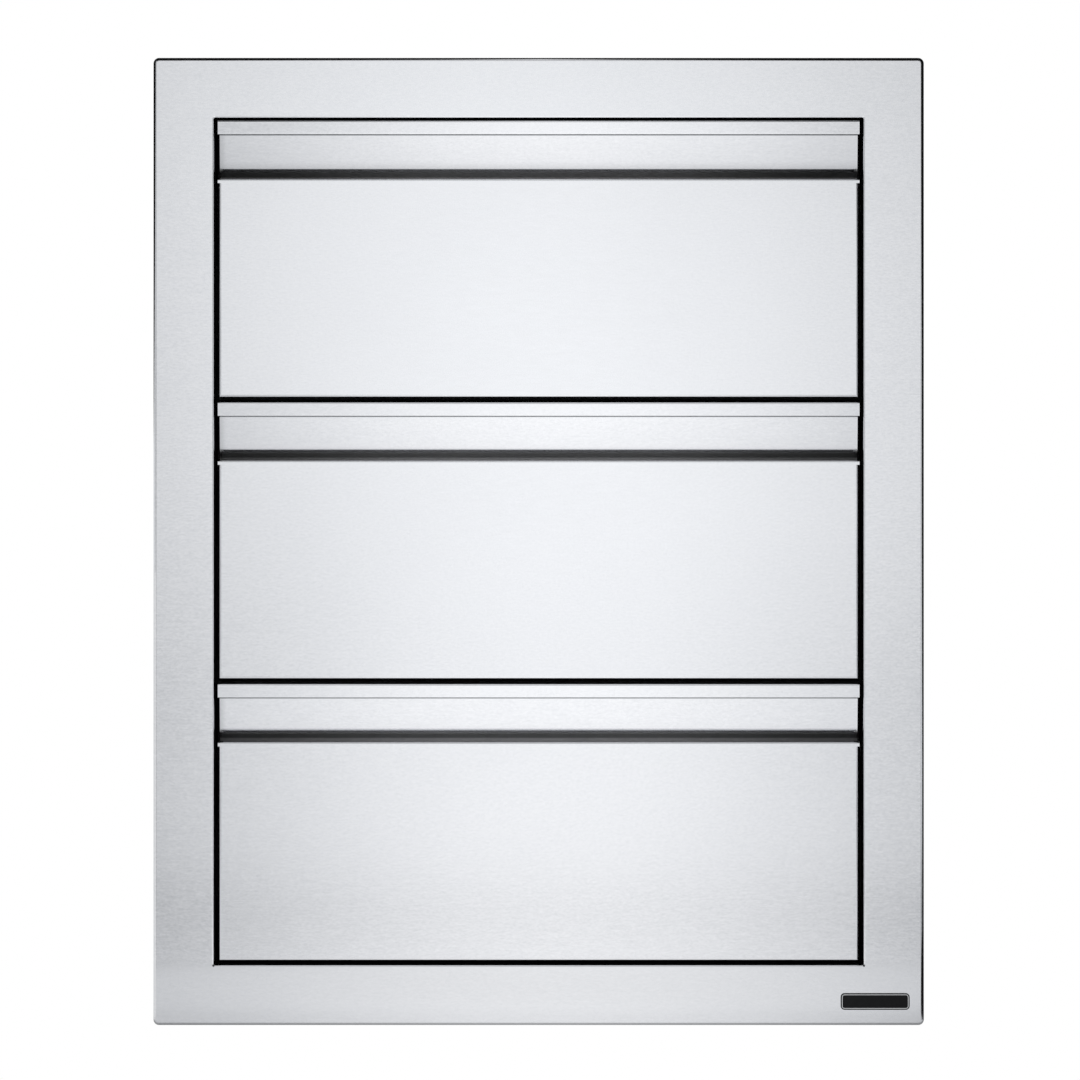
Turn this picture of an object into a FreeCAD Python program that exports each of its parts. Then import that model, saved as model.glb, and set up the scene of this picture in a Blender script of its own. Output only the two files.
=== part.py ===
import FreeCAD, Part
import math
import os

# Built-in drawer unit, in millimetres. +X is to the right seen from the front, +Y runs into
# the unit and +Z is up. The origin is midway across, level with the back of the face frame's
# flange (y = 0) and with the underside of the floor pan (z = 0).

# Face frame: a flange round the opening, edges turned back, and a collar that runs inwards
frame_width = 485.6
frame_height = 609.6
flange_width = 38.0
opening_width = 409.0
frame_depth = 15.0
frame_sheet = 1.2
frame_corner = 3.5
frame_edge_bend = 2.3
back_lip_width = 9.0
collar_reach = 7.0
opening_corner = 0.8
opening_edge_bend = 1.3
relief_radius = 0.75
relief_offset = 0.35

# Blank plate low on the right of the flange
plate_width = 43.4
plate_height = 10.4
plate_thickness = 1.2
plate_corner = 2.4
plate_rim = 0.7
plate_recess = 0.3
plate_from_side = 9.2
plate_from_foot = 9.9

# Enclosure behind the frame
overall_depth = 533.4
box_sheet = 1.0
box_bend = 0.8
wall_setback = 3.0
wall_flange = 14.0
flange_gap = 1.0
field_margin = 46.0
field_depth = 3.0
fixing_hole_radius = 2.5
fixing_setback = 80.0
fixing_rise = 65.0

# Rivets of the enclosure, and the plain ends that they leave
rivet_radius = 2.0
rivet_head_radius = 4.0
rivet_head_height = 1.0
rivet_end_margin = 50.0
rivets_per_seam = 4
hole_clearance = 0.05

# Gaps that show round the drawer fronts
drawer_names = ("bottom", "middle", "top")
top_gap = 1.6
bottom_gap = 2.9
front_gap = 3.2
side_gap = 2.4
panel_step = 0.85

# Hollow drawer front: a folded panel below, a folded finger channel above and a liner behind
front_depth = 22.0
front_sheet = 1.0
front_bend = 0.4
cap_height = 9.1
cap_bend = 0.4
cap_return = 2.6
recess_bend_height = 30.8
recess_slope = 20.0
recess_bend = 4.0
lip_height = 36.9
lip_tab = 2.6
recess_step = 1.15
gusset_gap = 0.1
hem_gap = 0.2
hem_length = 8.2
throat_height = 38.0
pocket_height = 53.0
pocket_bend = 6.0
channel_leg_gap = 1.5
end_gap = 0.1
liner_sheet = 1.0
liner_flange = 10.0
liner_side_height = 57.0

# Drawer tub
tub_sheet = 1.0
tub_rise = 16.0
tub_headroom = 39.4
tub_rear_gap = 10.4
tub_corner = 3.0
tub_foot_bend = 2.0
tub_hem = 8.0

# Three-member ball slides, measured from the wall (u) and from their own middle (v)
slide_thickness = 12.7
slide_height = 45.7
slide_setback = 4.0
slide_rear_gap = 4.4
slide_rise = 45.0
slide_hold = 20.0
rail_sheet = 1.2
rail_bend = 0.4
rail_gap = 0.3
outer_reach = 9.8
lip_clearance = 0.5
cage_room = 1.3
cage_sheet = 0.6
cage_gap = 0.4
cage_margin = 25.0
cage_end = 6.0
outer_ball_radius = 1.7
inner_ball_radius = 1.5
ball_gap = 0.3
ball_hole_gap = 0.2
ball_pitch = 18.0
race_depth = 0.4

# Fasteners of the slides and drawers
slide_rivets_per_rail = 4
slide_rivet_radius = 2.4
slide_rivet_head_radius = 4.5
slide_rivet_flare = 0.8
slide_rivet_margin = 30.0
screw_radius = 1.75
screw_head_radius = 3.6
screw_head_height = 1.6
screw_head_round = 0.7
screw_tip = 3.0
screw_slot_width = 0.9
screw_slot_length = 4.0
screw_slot_depth = 0.8
screws_per_rail = 3
front_screw_margin = 45.0
front_screw_low = 25.0
front_screw_high = 80.0

# Rubber seal behind each front, its pads, and the rails that the pads close against
seal_thickness = 3.0
seal_clearance = 0.6
seal_land = 13.0
seal_tub_gap = 0.3
seal_edge_round = 0.8
pad_radius = 5.0
pad_height = 4.7
pad_round = 1.0
pad_gap = 0.3
pad_rise = 7.5
pad_inset = 18.0
rail_overlap = 2.0
rail_rise = 13.0
rail_depth = 20.0

# Places that follow from the sizes
V = FreeCAD.Vector
tiny = 1e-4
beyond = 1.0
opening_half = opening_width / 2
opening_bottom = box_sheet + frame_sheet
opening_top = opening_bottom + frame_height - 2 * flange_width
frame_bottom = opening_bottom - flange_width
frame_top = opening_top + flange_width
front_y = -frame_depth
frame_face_back = front_y + frame_sheet
wall_inner = opening_half + frame_sheet
wall_outer = wall_inner + box_sheet
wall_middle = wall_inner + box_sheet / 2
wall_front = front_y + wall_setback
box_top = opening_top + frame_sheet + box_sheet
rear_y = front_y + overall_depth
rear_inner = rear_y - box_sheet
flange_front = collar_reach + flange_gap
flange_inner = wall_outer - wall_flange
box_radius = box_bend + box_sheet
seam_x = wall_inner - wall_flange / 2

front_height = (opening_top - opening_bottom - top_gap - bottom_gap - 2 * front_gap) / 3
cap_half = opening_half - side_gap
panel_half = cap_half - panel_step
inside_half = panel_half - front_sheet
liner_rear = front_y + front_depth + liner_sheet
rail_face = liner_rear + pad_height + pad_gap

tub_half = wall_inner - slide_thickness
tub_height = front_height - tub_rise - tub_headroom
tub_rear = rear_inner - box_sheet - tub_rear_gap

slide_front = liner_rear + slide_setback
slide_rear = rear_inner - box_sheet - slide_rear_gap
slide_length = slide_rear - slide_front
travel = slide_length - slide_hold
mid_web = rail_sheet + cage_room
mid_reach = slide_thickness - rail_sheet - rail_gap
inner_tip = mid_web + rail_sheet + cage_room + rail_gap
outer_race_radius = outer_ball_radius + ball_gap
inner_race_radius = inner_ball_radius + ball_gap
outer_ball_u = (mid_web + outer_reach - rail_sheet) / 2
inner_ball_u = (mid_web + mid_reach) / 2
outer_ball_v = slide_height / 2 - rail_sheet + race_depth - outer_race_radius
mid_flange = outer_ball_v - outer_race_radius + race_depth
inner_ball_v = mid_flange - rail_sheet + race_depth - inner_race_radius
inner_flange = inner_ball_v - inner_race_radius + race_depth
cage_front = slide_front + travel / 4 + cage_margin
cage_rear = slide_rear - travel / 4 - cage_margin


def block(x0, x1, y0, y1, z0, z1):
    """Box between two opposite corners."""
    return Part.makeBox(x1 - x0, y1 - y0, z1 - z0, V(x0, y0, z0))


def rod(radius, start, end):
    """Round bar from one point to another."""
    return Part.makeCylinder(radius, start.distanceToPoint(end), start, end - start)


def joined(shapes):
    """Union of the shapes, with the seams between flush faces taken out."""
    return shapes[0].fuse(shapes[1:]).removeSplitter()


def drilled(shape, tools):
    """The shape with every tool cut out of it."""
    return shape.cut(tools) if tools else shape


def mirrored(shape):
    """The same piece on the other side of the unit."""
    return shape.mirror(V(0, 0, 0), V(1, 0, 0))


def both_sides(shape):
    """A piece and its mirror image, as two separate solids."""
    return [shape, mirrored(shape)]


def rounded(shape, radius, chosen):
    """Fillets the edges whose bounding boxes the test accepts."""
    return shape.makeFillet(radius, [edge for edge in shape.Edges if chosen(edge.BoundBox)])


def runs_along(axis):
    """Test for edges parallel to an axis."""
    across = {"x": ("YLength", "ZLength"), "y": ("XLength", "ZLength"), "z": ("XLength", "YLength")}
    return lambda box: all(getattr(box, side) < tiny for side in across[axis])


def level_with(axis, place):
    """Test for edges that lie in the plane where an axis has one value."""
    low, high = {"y": ("YMin", "YMax"), "z": ("ZMin", "ZMax")}[axis]
    return lambda box: abs(getattr(box, low) - place) < tiny and abs(getattr(box, high) - place) < tiny


def evenly(low, high, count):
    """Count places from low to high, both included."""
    return [low + (high - low) * step / (count - 1) for step in range(count)]


def heading(start, end):
    """Unit direction from one plane point to another."""
    length = math.dist(start, end)
    return ((end[0] - start[0]) / length, (end[1] - start[1]) / length)


def beside(point, direction, distance):
    """Point to the left of a direction, or to its right when the distance is negative."""
    return (point[0] - direction[1] * distance, point[1] + direction[0] * distance)


def sheet_side(path, sheet, radii, side):
    """One face of a folded sheet's section, as runs of two points and arcs of three.
    The sheet's middle follows the path; at each fold both faces turn about one centre."""
    offset = side * sheet / 2
    pieces = []
    here = beside(path[0], heading(path[0], path[1]), offset)
    for before, fold, after, inside in zip(path, path[1:], path[2:], radii):
        arriving = heading(before, fold)
        leaving = heading(fold, after)
        turn = math.atan2(
            arriving[0] * leaving[1] - arriving[1] * leaving[0],
            arriving[0] * leaving[0] + arriving[1] * leaving[1],
        )
        hand = math.copysign(1, turn)
        middle_radius = inside + sheet / 2
        tangent = middle_radius * math.tan(abs(turn) / 2)
        start = (fold[0] - arriving[0] * tangent, fold[1] - arriving[1] * tangent)
        centre = beside(start, arriving, hand * middle_radius)
        reach = offset - hand * middle_radius
        halfway = heading((0, 0), (arriving[0] + leaving[0], arriving[1] + leaving[1]))
        arc = [beside(centre, direction, reach) for direction in (arriving, halfway, leaving)]
        pieces += [[here, arc[0]], arc]
        here = arc[2]
    end = beside(path[-1], heading(path[-2], path[-1]), offset)
    return pieces + [[here, end]]


def folded_sheet(path, sheet, radii, axis, low, high):
    """Sheet metal of one section, folded along an axis and cut off at two places on it."""
    place = {
        "x": lambda u, v: V(low, u, v),
        "y": lambda u, v: V(u, low, v),
        "z": lambda u, v: V(u, v, low),
    }[axis]
    run = {"x": V(high - low, 0, 0), "y": V(0, high - low, 0), "z": V(0, 0, high - low)}[axis]
    left = sheet_side(path, sheet, radii, 1)
    right = sheet_side(path, sheet, radii, -1)
    ends = [[left[0][0], right[0][0]], [left[-1][-1], right[-1][-1]]]
    edges = []
    for piece in left + right + ends:
        points = [place(*point) for point in piece]
        if len(points) == 3:
            edges.append(Part.Arc(*points).toShape())
        elif points[0].distanceToPoint(points[1]) > tiny:
            edges.append(Part.LineSegment(*points).toShape())
    return Part.Face(Part.Wire(Part.__sortEdges__(edges))).extrude(run)


def turned(shape, place, direction):
    """A shape made on the Z axis, stood at a place with +Z along a direction."""
    shape.Placement = FreeCAD.Placement(place, FreeCAD.Rotation(V(0, 0, 1), direction))
    return shape


# Face frame and plate


def flange_block(inset, back):
    """Solid block inside the flange's outline, drawn in by an inset on every face but the back."""
    half = frame_width / 2 - inset
    front = front_y + inset
    shape = block(-half, half, front, back, frame_bottom + inset, frame_top - inset)
    shape = rounded(shape, frame_corner - inset, runs_along("y"))
    return rounded(shape, frame_edge_bend - inset, level_with("y", front))


def flange_shell():
    """Flat flange with its edges turned back and a lip turned in along the back."""
    shell = flange_block(0, 0).cut(flange_block(frame_sheet, beyond))
    half = frame_width / 2
    lip = block(-half, half, -frame_sheet, 0, frame_bottom, frame_top)
    lip = rounded(lip, frame_corner, runs_along("y"))
    inner = half - back_lip_width
    window = block(
        -inner, inner, -frame_sheet - beyond, beyond,
        frame_bottom + back_lip_width, frame_top - back_lip_width,
    )
    return shell.fuse(lip.cut(window))


def opening_block(outset, front, back):
    """Block that fills the frame's opening, made larger by an outset."""
    shape = block(
        -opening_half - outset, opening_half + outset, front, back,
        opening_bottom - outset, opening_top + outset,
    )
    return rounded(shape, opening_corner + outset, runs_along("y"))


def corner_reliefs():
    """Small notches where the folds meet at the opening's two lower corners."""
    x = opening_half + relief_offset
    z = opening_bottom - relief_offset
    notch = rod(relief_radius, V(x, front_y - beyond, z), V(x, frame_face_back + tiny, z))
    return both_sides(notch)


def make_face_frame():
    """Flange, collar and opening as one folded and welded frame."""
    collar = opening_block(frame_sheet, frame_face_back, collar_reach)
    frame = joined([flange_shell(), collar])
    frame = frame.cut(opening_block(0, front_y - beyond, collar_reach + beyond))

    def on_rim(box):
        return level_with("y", front_y)(box) and box.XMax < opening_half + tiny \
            and box.XMin > -opening_half - tiny and box.ZMax < opening_top + tiny \
            and box.ZMin > opening_bottom - tiny

    return rounded(frame, opening_edge_bend, on_rim).cut(corner_reliefs())


def make_badge_plate():
    """Blank plate with a raised rim, lying on the flange."""
    right = frame_width / 2 - plate_from_side
    low = frame_bottom + plate_from_foot
    face = front_y - plate_thickness
    plate = block(right - plate_width, right, face, front_y, low, low + plate_height)
    field = block(
        right - plate_width + plate_rim, right - plate_rim, face - beyond, face + plate_recess,
        low + plate_rim, low + plate_height - plate_rim,
    )
    plate = rounded(plate, plate_corner, runs_along("y"))
    return plate.cut(rounded(field, plate_corner - plate_rim, runs_along("y")))


# Enclosure


def seam_places():
    """Distances from front to back at which the long seams are riveted."""
    return evenly(flange_front + rivet_end_margin, rear_inner - rivet_end_margin, rivets_per_seam)


def rear_seam_places():
    """Heights at which the rear wall's upright seams are riveted."""
    return evenly(rivet_end_margin, box_top - rivet_end_margin, rivets_per_seam)


def seam_holes():
    """Holes for every rivet of the enclosure, through all the sheets that it holds."""
    radius = rivet_radius + hole_clearance
    uprights = [rod(radius, V(seam_x, y, -beyond), V(seam_x, y, box_top + beyond)) for y in seam_places()]
    rears = [
        rod(radius, V(seam_x, rear_inner - 2 * box_sheet, z), V(seam_x, rear_y + beyond, z))
        for z in rear_seam_places()
    ]
    return [hole for each in uprights + rears for hole in both_sides(each)]


def make_wall_rivets():
    """Domed rivets along the top and rear seams; along the floor they are flush outside."""
    long = 2 * box_sheet
    rivets = []
    for y in seam_places():
        rivets.append(rivet(V(seam_x, y, box_top), V(0, 0, 1), long))
        rivets.append(rivet(V(seam_x, y, long), V(0, 0, 1), long))
    for z in rear_seam_places():
        rivets.append(rivet(V(seam_x, rear_y, z), V(0, 1, 0), long))
    return Part.makeCompound([solid for each in rivets for solid in both_sides(each)])


def rivet(place, direction, grip):
    """Rivet whose low domed head sits at a place, with its shank running back from the head."""
    head = Part.makeCylinder(rivet_head_radius, rivet_head_height)
    head = rounded(head, rivet_head_height / 2, level_with("z", rivet_head_height))
    shank = Part.makeCylinder(rivet_radius, grip, V(0, 0, -grip))
    return turned(joined([head, shank]), place, direction)


def fixing_places():
    """Depth and height of each hole for screwing the enclosure to the kitchen's carcass."""
    depths = (front_y + fixing_setback, rear_y - fixing_setback)
    heights = (slide_middle("bottom") + fixing_rise, slide_middle("top") + fixing_rise)
    return [(y, z) for y in depths for z in heights]


def make_right_wall():
    """Side wall with its top, bottom and rear edges turned in."""
    low = box_sheet
    high = box_top - box_sheet
    tip = flange_inner
    front_plate = block(wall_inner, wall_outer, wall_front, flange_front + box_radius, low, high)
    path = [
        (tip, low + box_sheet / 2), (wall_middle, low + box_sheet / 2),
        (wall_middle, high - box_sheet / 2), (tip, high - box_sheet / 2),
    ]
    body = folded_sheet(
        path, box_sheet, [box_bend] * 2, "y", flange_front, rear_inner - box_radius
    )
    back = rear_inner - box_sheet / 2
    path = [(wall_middle, back - wall_flange), (wall_middle, back), (tip, back)]
    rear = folded_sheet(path, box_sheet, [box_bend], "z", low + box_radius, high - box_radius)
    holes = [
        rod(fixing_hole_radius, V(wall_inner - beyond, y, z), V(wall_outer + beyond, y, z))
        for y, z in fixing_places()
    ]
    rivet_holes = [
        rod(slide_rivet_radius + hole_clearance, V(wall_inner - beyond, y, z), V(wall_outer + beyond, y, z))
        for y, z in slide_rivet_places()
    ]
    return drilled(joined([front_plate, body, rear]), holes + rivet_holes + seam_holes())


def end_sheet(plate_middle, flange_end):
    """Top or floor sheet: a plate over the side walls with its rear edge turned towards the middle."""
    low = plate_middle - box_sheet / 2
    plate = block(
        -wall_outer, wall_outer, wall_front, rear_inner - box_radius, low, low + box_sheet
    )
    back = rear_inner - box_sheet / 2
    path = [(back - wall_flange, plate_middle), (back, plate_middle), (back, flange_end)]
    half = flange_inner - flange_gap
    rear = folded_sheet(path, box_sheet, [box_bend], "x", -half, half)
    return drilled(joined([plate, rear]), seam_holes())


def make_top_wall():
    middle = box_top - box_sheet / 2
    return end_sheet(middle, middle - wall_flange)


def make_floor_pan():
    middle = box_sheet / 2
    return end_sheet(middle, middle + wall_flange)


def field_frustum(half_width, low, high, mouth):
    """Flat-bottomed block with sides at 45 degrees, as deep as the pressed field."""
    corners = []
    for depth in (0, field_depth):
        half = half_width - depth
        y = mouth - depth
        outline = [
            V(-half, y, low + depth), V(half, y, low + depth),
            V(half, y, high - depth), V(-half, y, high - depth), V(-half, y, low + depth),
        ]
        corners.append(Part.makePolygon(outline))
    return Part.makeLoft(corners, True, True)


def make_rear_wall():
    """Plain rear sheet, stiffened by a shallow field pressed into its middle."""
    half = wall_outer - field_margin
    high = box_top - field_margin
    slant = box_sheet * (math.sqrt(2) - 1)
    sheet = block(-wall_outer, wall_outer, rear_inner, rear_y, 0, box_top)
    pressed = field_frustum(half, field_margin, high, rear_inner + tiny)
    hollow = field_frustum(half - slant, field_margin + slant, high - slant, rear_y + tiny)
    return drilled(joined([sheet, pressed]).cut(hollow), seam_holes())


def make_cross_rail(name):
    """Channel between the side walls, level with the gap under one drawer's front."""
    low = front_bottom(name) - front_gap - rail_overlap + box_sheet / 2
    high = front_bottom(name) + rail_rise - box_sheet / 2
    face = rail_face + box_sheet / 2
    back = rail_face + rail_depth
    path = [(back, low), (face, low), (face, high), (back, high)]
    return folded_sheet(path, box_sheet, [box_bend] * 2, "x", -wall_inner, wall_inner)


def make_sill_rail():
    """Angle on the floor pan that the bottom drawer closes against."""
    low = box_sheet + box_sheet / 2
    face = rail_face + box_sheet / 2
    path = [(rail_face + rail_depth, low), (face, low), (face, front_bottom("bottom") + rail_rise)]
    half = flange_inner - flange_gap
    return folded_sheet(path, box_sheet, [box_bend], "x", -half, half)


# Drawer places


def front_bottom(name):
    """Height of the foot of one drawer's front."""
    step = front_height + front_gap
    return opening_bottom + bottom_gap + drawer_names.index(name) * step


def front_top(name):
    return front_bottom(name) + front_height


def tub_bottom(name):
    return front_bottom(name) + tub_rise


def slide_middle(name):
    """Height of the middle of one drawer's slides."""
    return tub_bottom(name) + slide_rise


# Drawer front


def front_pan(inset, back, top, foot):
    """Block inside the front panel, drawn in by an inset at its face, sides and foot."""
    half = panel_half - inset
    face = front_y + inset
    shape = block(-half, half, face, back, foot + inset, top)
    radius = front_bend + front_sheet - inset

    def is_fold(box):
        upright = runs_along("z")(box) and abs(box.YMin - face) < tiny
        at_foot = runs_along("x")(box) and abs(box.YMin - face) < tiny
        return upright or (at_foot and abs(box.ZMin - foot - inset) < tiny)

    return rounded(shape, radius, is_fold)


def make_front_skin(name):
    """Panel with its sides and foot turned back and a hem along its top; the hem's ends stand
    out past the turned sides as short tabs."""
    foot = front_bottom(name)
    lip = front_top(name) - lip_height
    tab_foot = lip - lip_tab
    depth = front_y + front_depth
    panel = front_pan(0, depth, tab_foot, foot)
    panel = panel.cut(front_pan(front_sheet, depth + beyond, tab_foot + beyond, foot))
    face = front_y + front_sheet / 2
    leaf = face + front_sheet + hem_gap
    path = [
        (face, tab_foot), (face, lip - front_sheet / 2), (leaf, lip - front_sheet / 2),
        (leaf, tab_foot),
    ]
    hem = folded_sheet(path, front_sheet, [hem_gap / 2] * 2, "x", -cap_half, cap_half)
    leaf_foot = block(
        -inside_half + end_gap, inside_half - end_gap, leaf - front_sheet / 2,
        leaf + front_sheet / 2, lip - hem_length, tab_foot,
    )
    return joined([panel, hem, leaf_foot])


def channel_path(name):
    """Middle line of the finger channel, from the back of its top flange, round the cap, down
    the sloping recess, round the pocket and up behind the lip."""
    top = front_top(name)
    half = front_sheet / 2
    face = front_y + half
    back = front_y + front_depth - half
    leg = front_y + 2 * front_sheet + hem_gap + half
    under = front_y + cap_return
    cap_foot = top - cap_height + half
    bend = top - recess_bend_height
    slope = (cap_foot - bend) * math.tan(math.radians(recess_slope))
    return [
        (back + half, top - half), (face, top - half), (face, cap_foot), (under, cap_foot),
        (under + slope, bend), (back, top - throat_height), (back, top - pocket_height + half),
        (leg, top - pocket_height + half), (leg, top - lip_height - channel_leg_gap),
    ]


def channel_gusset(name):
    """Flat gusset that closes the hollow behind the recess at the right-hand end."""
    top, corner, cap_foot, under, bend, throat = channel_path(name)[:6]
    outline = [
        (throat[0] + front_sheet / 2, corner[1]), (throat[0] + front_sheet / 2, throat[1]),
        throat, bend, under, (under[0], corner[1]),
    ]
    points = [V(inside_half + gusset_gap, y, z) for y, z in outline]
    face = Part.Face(Part.makePolygon(points + points[:1]))
    return face.extrude(V(front_sheet, 0, 0))


def recess_trim(name):
    """Wedge past the recess's right-hand end, which steps in from the cap at the face and runs
    out to the cap's width at the back, so that the gap beside it looks even from in front."""
    step = cap_half - recess_step
    past = cap_half + beyond
    back = front_y + front_depth
    foot = front_bottom(name)
    outline = [V(step, front_y, foot), V(cap_half, back, foot), V(past, back, foot), V(past, front_y, foot)]
    return Part.Face(Part.makePolygon(outline + outline[:1])).extrude(V(0, 0, front_height))


def make_pull_channel(name):
    """Cap, recess and finger pocket folded from one sheet, with a gusset at each end. The cap
    is as wide as the lip's tabs, and the pocket fits between the panel's turned sides."""
    path = channel_path(name)
    radii = [cap_bend] * 3 + [recess_bend] * 2 + [pocket_bend] * 2
    cap = folded_sheet(path[:4], front_sheet, radii[:2], "x", -cap_half, cap_half)
    channel = folded_sheet(path, front_sheet, radii, "x", -cap_half, cap_half)
    channel = joined([channel] + both_sides(channel_gusset(name))).cut(both_sides(recess_trim(name)))
    below_lip = block(
        inside_half - end_gap, cap_half + beyond, front_y, front_y + front_depth,
        front_bottom(name), front_top(name) - lip_height,
    )
    return joined([cap, channel]).cut(both_sides(below_lip))


def make_front_liner(name):
    """Sheet that closes the back of the front, with its edges turned forwards inside it."""
    foot = front_bottom(name) + front_sheet
    top = front_top(name) - front_sheet
    back = liner_rear
    start = back - liner_sheet - liner_flange
    outer = block(-inside_half, inside_half, start, back, foot, top)
    inner = block(
        -inside_half + liner_sheet, inside_half - liner_sheet, start - beyond, back - liner_sheet,
        foot + liner_sheet, top - liner_sheet,
    )
    outer = rounded(outer, front_bend + liner_sheet, level_with("y", back))
    inner = rounded(inner, front_bend, level_with("y", back - liner_sheet))
    side_clear = block(
        inside_half - liner_sheet - front_bend, inside_half + beyond, start - beyond,
        back - liner_sheet, front_top(name) - liner_side_height, top - liner_sheet,
    )
    holes = [
        rod(screw_radius + hole_clearance, V(x, front_y, z), V(x, back + beyond, z))
        for x, z in front_screw_places(name)
    ]
    return drilled(outer.cut(inner), both_sides(side_clear) + holes)


def seal_reach(name):
    """Heights of a seal's lower and upper edge: near the frame at the ends of the stack, and
    short of the next seal between two drawers."""
    low = front_bottom(name) - (front_gap - seal_clearance) / 2
    high = front_top(name) + (front_gap - seal_clearance) / 2
    if name == drawer_names[0]:
        low = opening_bottom + seal_clearance
    if name == drawer_names[-1]:
        high = opening_top - seal_clearance
    return low, high


def make_drawer_seal(name):
    """Flat rubber frame on the back of the liner, whose edge stands out into the gap round the
    front, with two round pads at its foot that meet the rail behind."""
    back = liner_rear + seal_thickness
    half = opening_half - seal_clearance
    low, high = seal_reach(name)
    shape = block(-half, half, liner_rear, back, low, high)
    shape = rounded(shape, seal_edge_round, level_with("y", back))
    inner = tub_half + seal_tub_gap
    window = block(
        -inner, inner, liner_rear - beyond, back + beyond,
        front_bottom(name) + seal_land, front_top(name) - seal_land,
    )
    x = inside_half - pad_inset
    z = front_bottom(name) + pad_rise
    pad = rod(pad_radius, V(x, liner_rear, z), V(x, liner_rear + pad_height, z))
    pad = rounded(pad, pad_round, level_with("y", liner_rear + pad_height))
    return joined([shape.cut(window)] + both_sides(pad))


# Tub


def tub_block(name, inset, foot, top):
    """Block inside the tub's walls, drawn in by an inset and rounded at its corners."""
    half = tub_half - inset
    shape = block(-half, half, liner_rear + inset, tub_rear - inset, foot, top)
    return rounded(shape, tub_corner - inset, runs_along("z"))


def make_tub(name):
    """Open box folded from one sheet, with its rim hemmed inwards."""
    foot = tub_bottom(name)
    top = foot + tub_height
    outer = rounded(tub_block(name, 0, foot, top), tub_foot_bend, level_with("z", foot))
    floor = foot + tub_sheet
    inner = tub_block(name, tub_sheet, floor, top + beyond)
    inner = rounded(inner, tub_foot_bend - tub_sheet, level_with("z", floor))
    hem = tub_block(name, tub_sheet / 2, top - tub_hem, top)
    hem = hem.cut(tub_block(name, 2 * tub_sheet, top - tub_hem - beyond, top + beyond))
    tub = joined([outer.cut(inner), hem])
    tub = rounded(tub, tub_sheet * 0.9, level_with("z", top))
    return drilled(tub, front_screw_holes(name) + rail_screw_holes(name))


def front_screw_places(name):
    """Places across and up of the screws that hold the tub to the liner."""
    x = tub_half - front_screw_margin
    foot = tub_bottom(name)
    return [(side * x, foot + rise) for side in (-1, 1) for rise in (front_screw_low, front_screw_high)]


def front_screw_holes(name):
    radius = screw_radius + hole_clearance
    return [
        rod(radius, V(x, liner_rear - beyond, z), V(x, liner_rear + tub_sheet + beyond, z))
        for x, z in front_screw_places(name)
    ]


def rail_screw_places():
    """Distances from front to back of the screws that hold an inner rail."""
    return evenly(slide_front + slide_rivet_margin, tub_rear - slide_rivet_margin, screws_per_rail)


def rail_screw_holes(name):
    radius = screw_radius + hole_clearance
    z = slide_middle(name)
    start = tub_half - tub_sheet - beyond
    end = tub_half + rail_sheet + beyond
    holes = [rod(radius, V(start, y, z), V(end, y, z)) for y in rail_screw_places()]
    return [hole for each in holes for hole in both_sides(each)]


def screw(place, direction, grip):
    """Pan-head screw with a cross slot: its head sits at a place and its shank runs back."""
    head = Part.makeCylinder(screw_head_radius, screw_head_height)
    head = rounded(head, screw_head_round, level_with("z", screw_head_height))
    length = grip + screw_tip
    shank = Part.makeCylinder(screw_radius, length, V(0, 0, -length))
    long = screw_slot_length / 2
    wide = screw_slot_width / 2
    floor = screw_head_height - screw_slot_depth
    slots = [
        block(-long, long, -wide, wide, floor, screw_head_height + beyond),
        block(-wide, wide, -long, long, floor, screw_head_height + beyond),
    ]
    return turned(joined([head, shank]).cut(slots), place, direction)


def make_drawer_screws(name):
    """Screws through the tub's front into the liner, and through its sides into the rails."""
    screws = [
        screw(V(x, liner_rear + tub_sheet, z), V(0, 1, 0), tub_sheet + liner_sheet)
        for x, z in front_screw_places(name)
    ]
    for y in rail_screw_places():
        place = V(tub_half - tub_sheet, y, slide_middle(name))
        screws += both_sides(screw(place, V(-1, 0, 0), tub_sheet + rail_sheet))
    return Part.makeCompound(screws)


# Slides, made for the right-hand wall


def slide_sheet(section, name, sheet, y0, y1):
    """Rail or cage of one section, given outwards from the wall and up from its middle."""
    path = [(wall_inner - u, slide_middle(name) + v) for u, v in section]
    return folded_sheet(path, sheet, [rail_bend] * (len(path) - 2), "y", y0, y1)


def two_races(name, u, v, radius):
    """Round bars that cut the grooves for the upper and lower row of balls."""
    x = wall_inner - u
    places = (slide_middle(name) + v, slide_middle(name) - v)
    return [rod(radius, V(x, slide_front - beyond, z), V(x, slide_rear + beyond, z)) for z in places]


def doubled(section):
    """A half section and its reflection below the slide's middle, as one path."""
    return [(u, -v) for u, v in section] + section[::-1]


def make_outer_rail(name):
    """Rail fixed to the wall, with lips that keep the outer balls in."""
    web = rail_sheet / 2
    flange = slide_height / 2 - rail_sheet / 2
    lip = outer_reach - rail_sheet / 2
    section = doubled([(lip, mid_flange + lip_clearance), (lip, flange), (web, flange)])
    rail = slide_sheet(section, name, rail_sheet, slide_front, slide_rear)
    return drilled(rail, two_races(name, outer_ball_u, outer_ball_v, outer_race_radius)
                   + slide_rivet_holes(name))


def make_mid_rail(name):
    """Rail that travels half as far as the drawer, grooved outside and inside."""
    web = mid_web + rail_sheet / 2
    flange = mid_flange - rail_sheet / 2
    lip = mid_reach - rail_sheet / 2
    section = doubled([(lip, inner_flange + lip_clearance), (lip, flange), (web, flange)])
    rail = slide_sheet(section, name, rail_sheet, slide_front, slide_rear)
    outside = two_races(name, outer_ball_u, outer_ball_v, outer_race_radius)
    return drilled(rail, outside + two_races(name, inner_ball_u, inner_ball_v, inner_race_radius))


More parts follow.
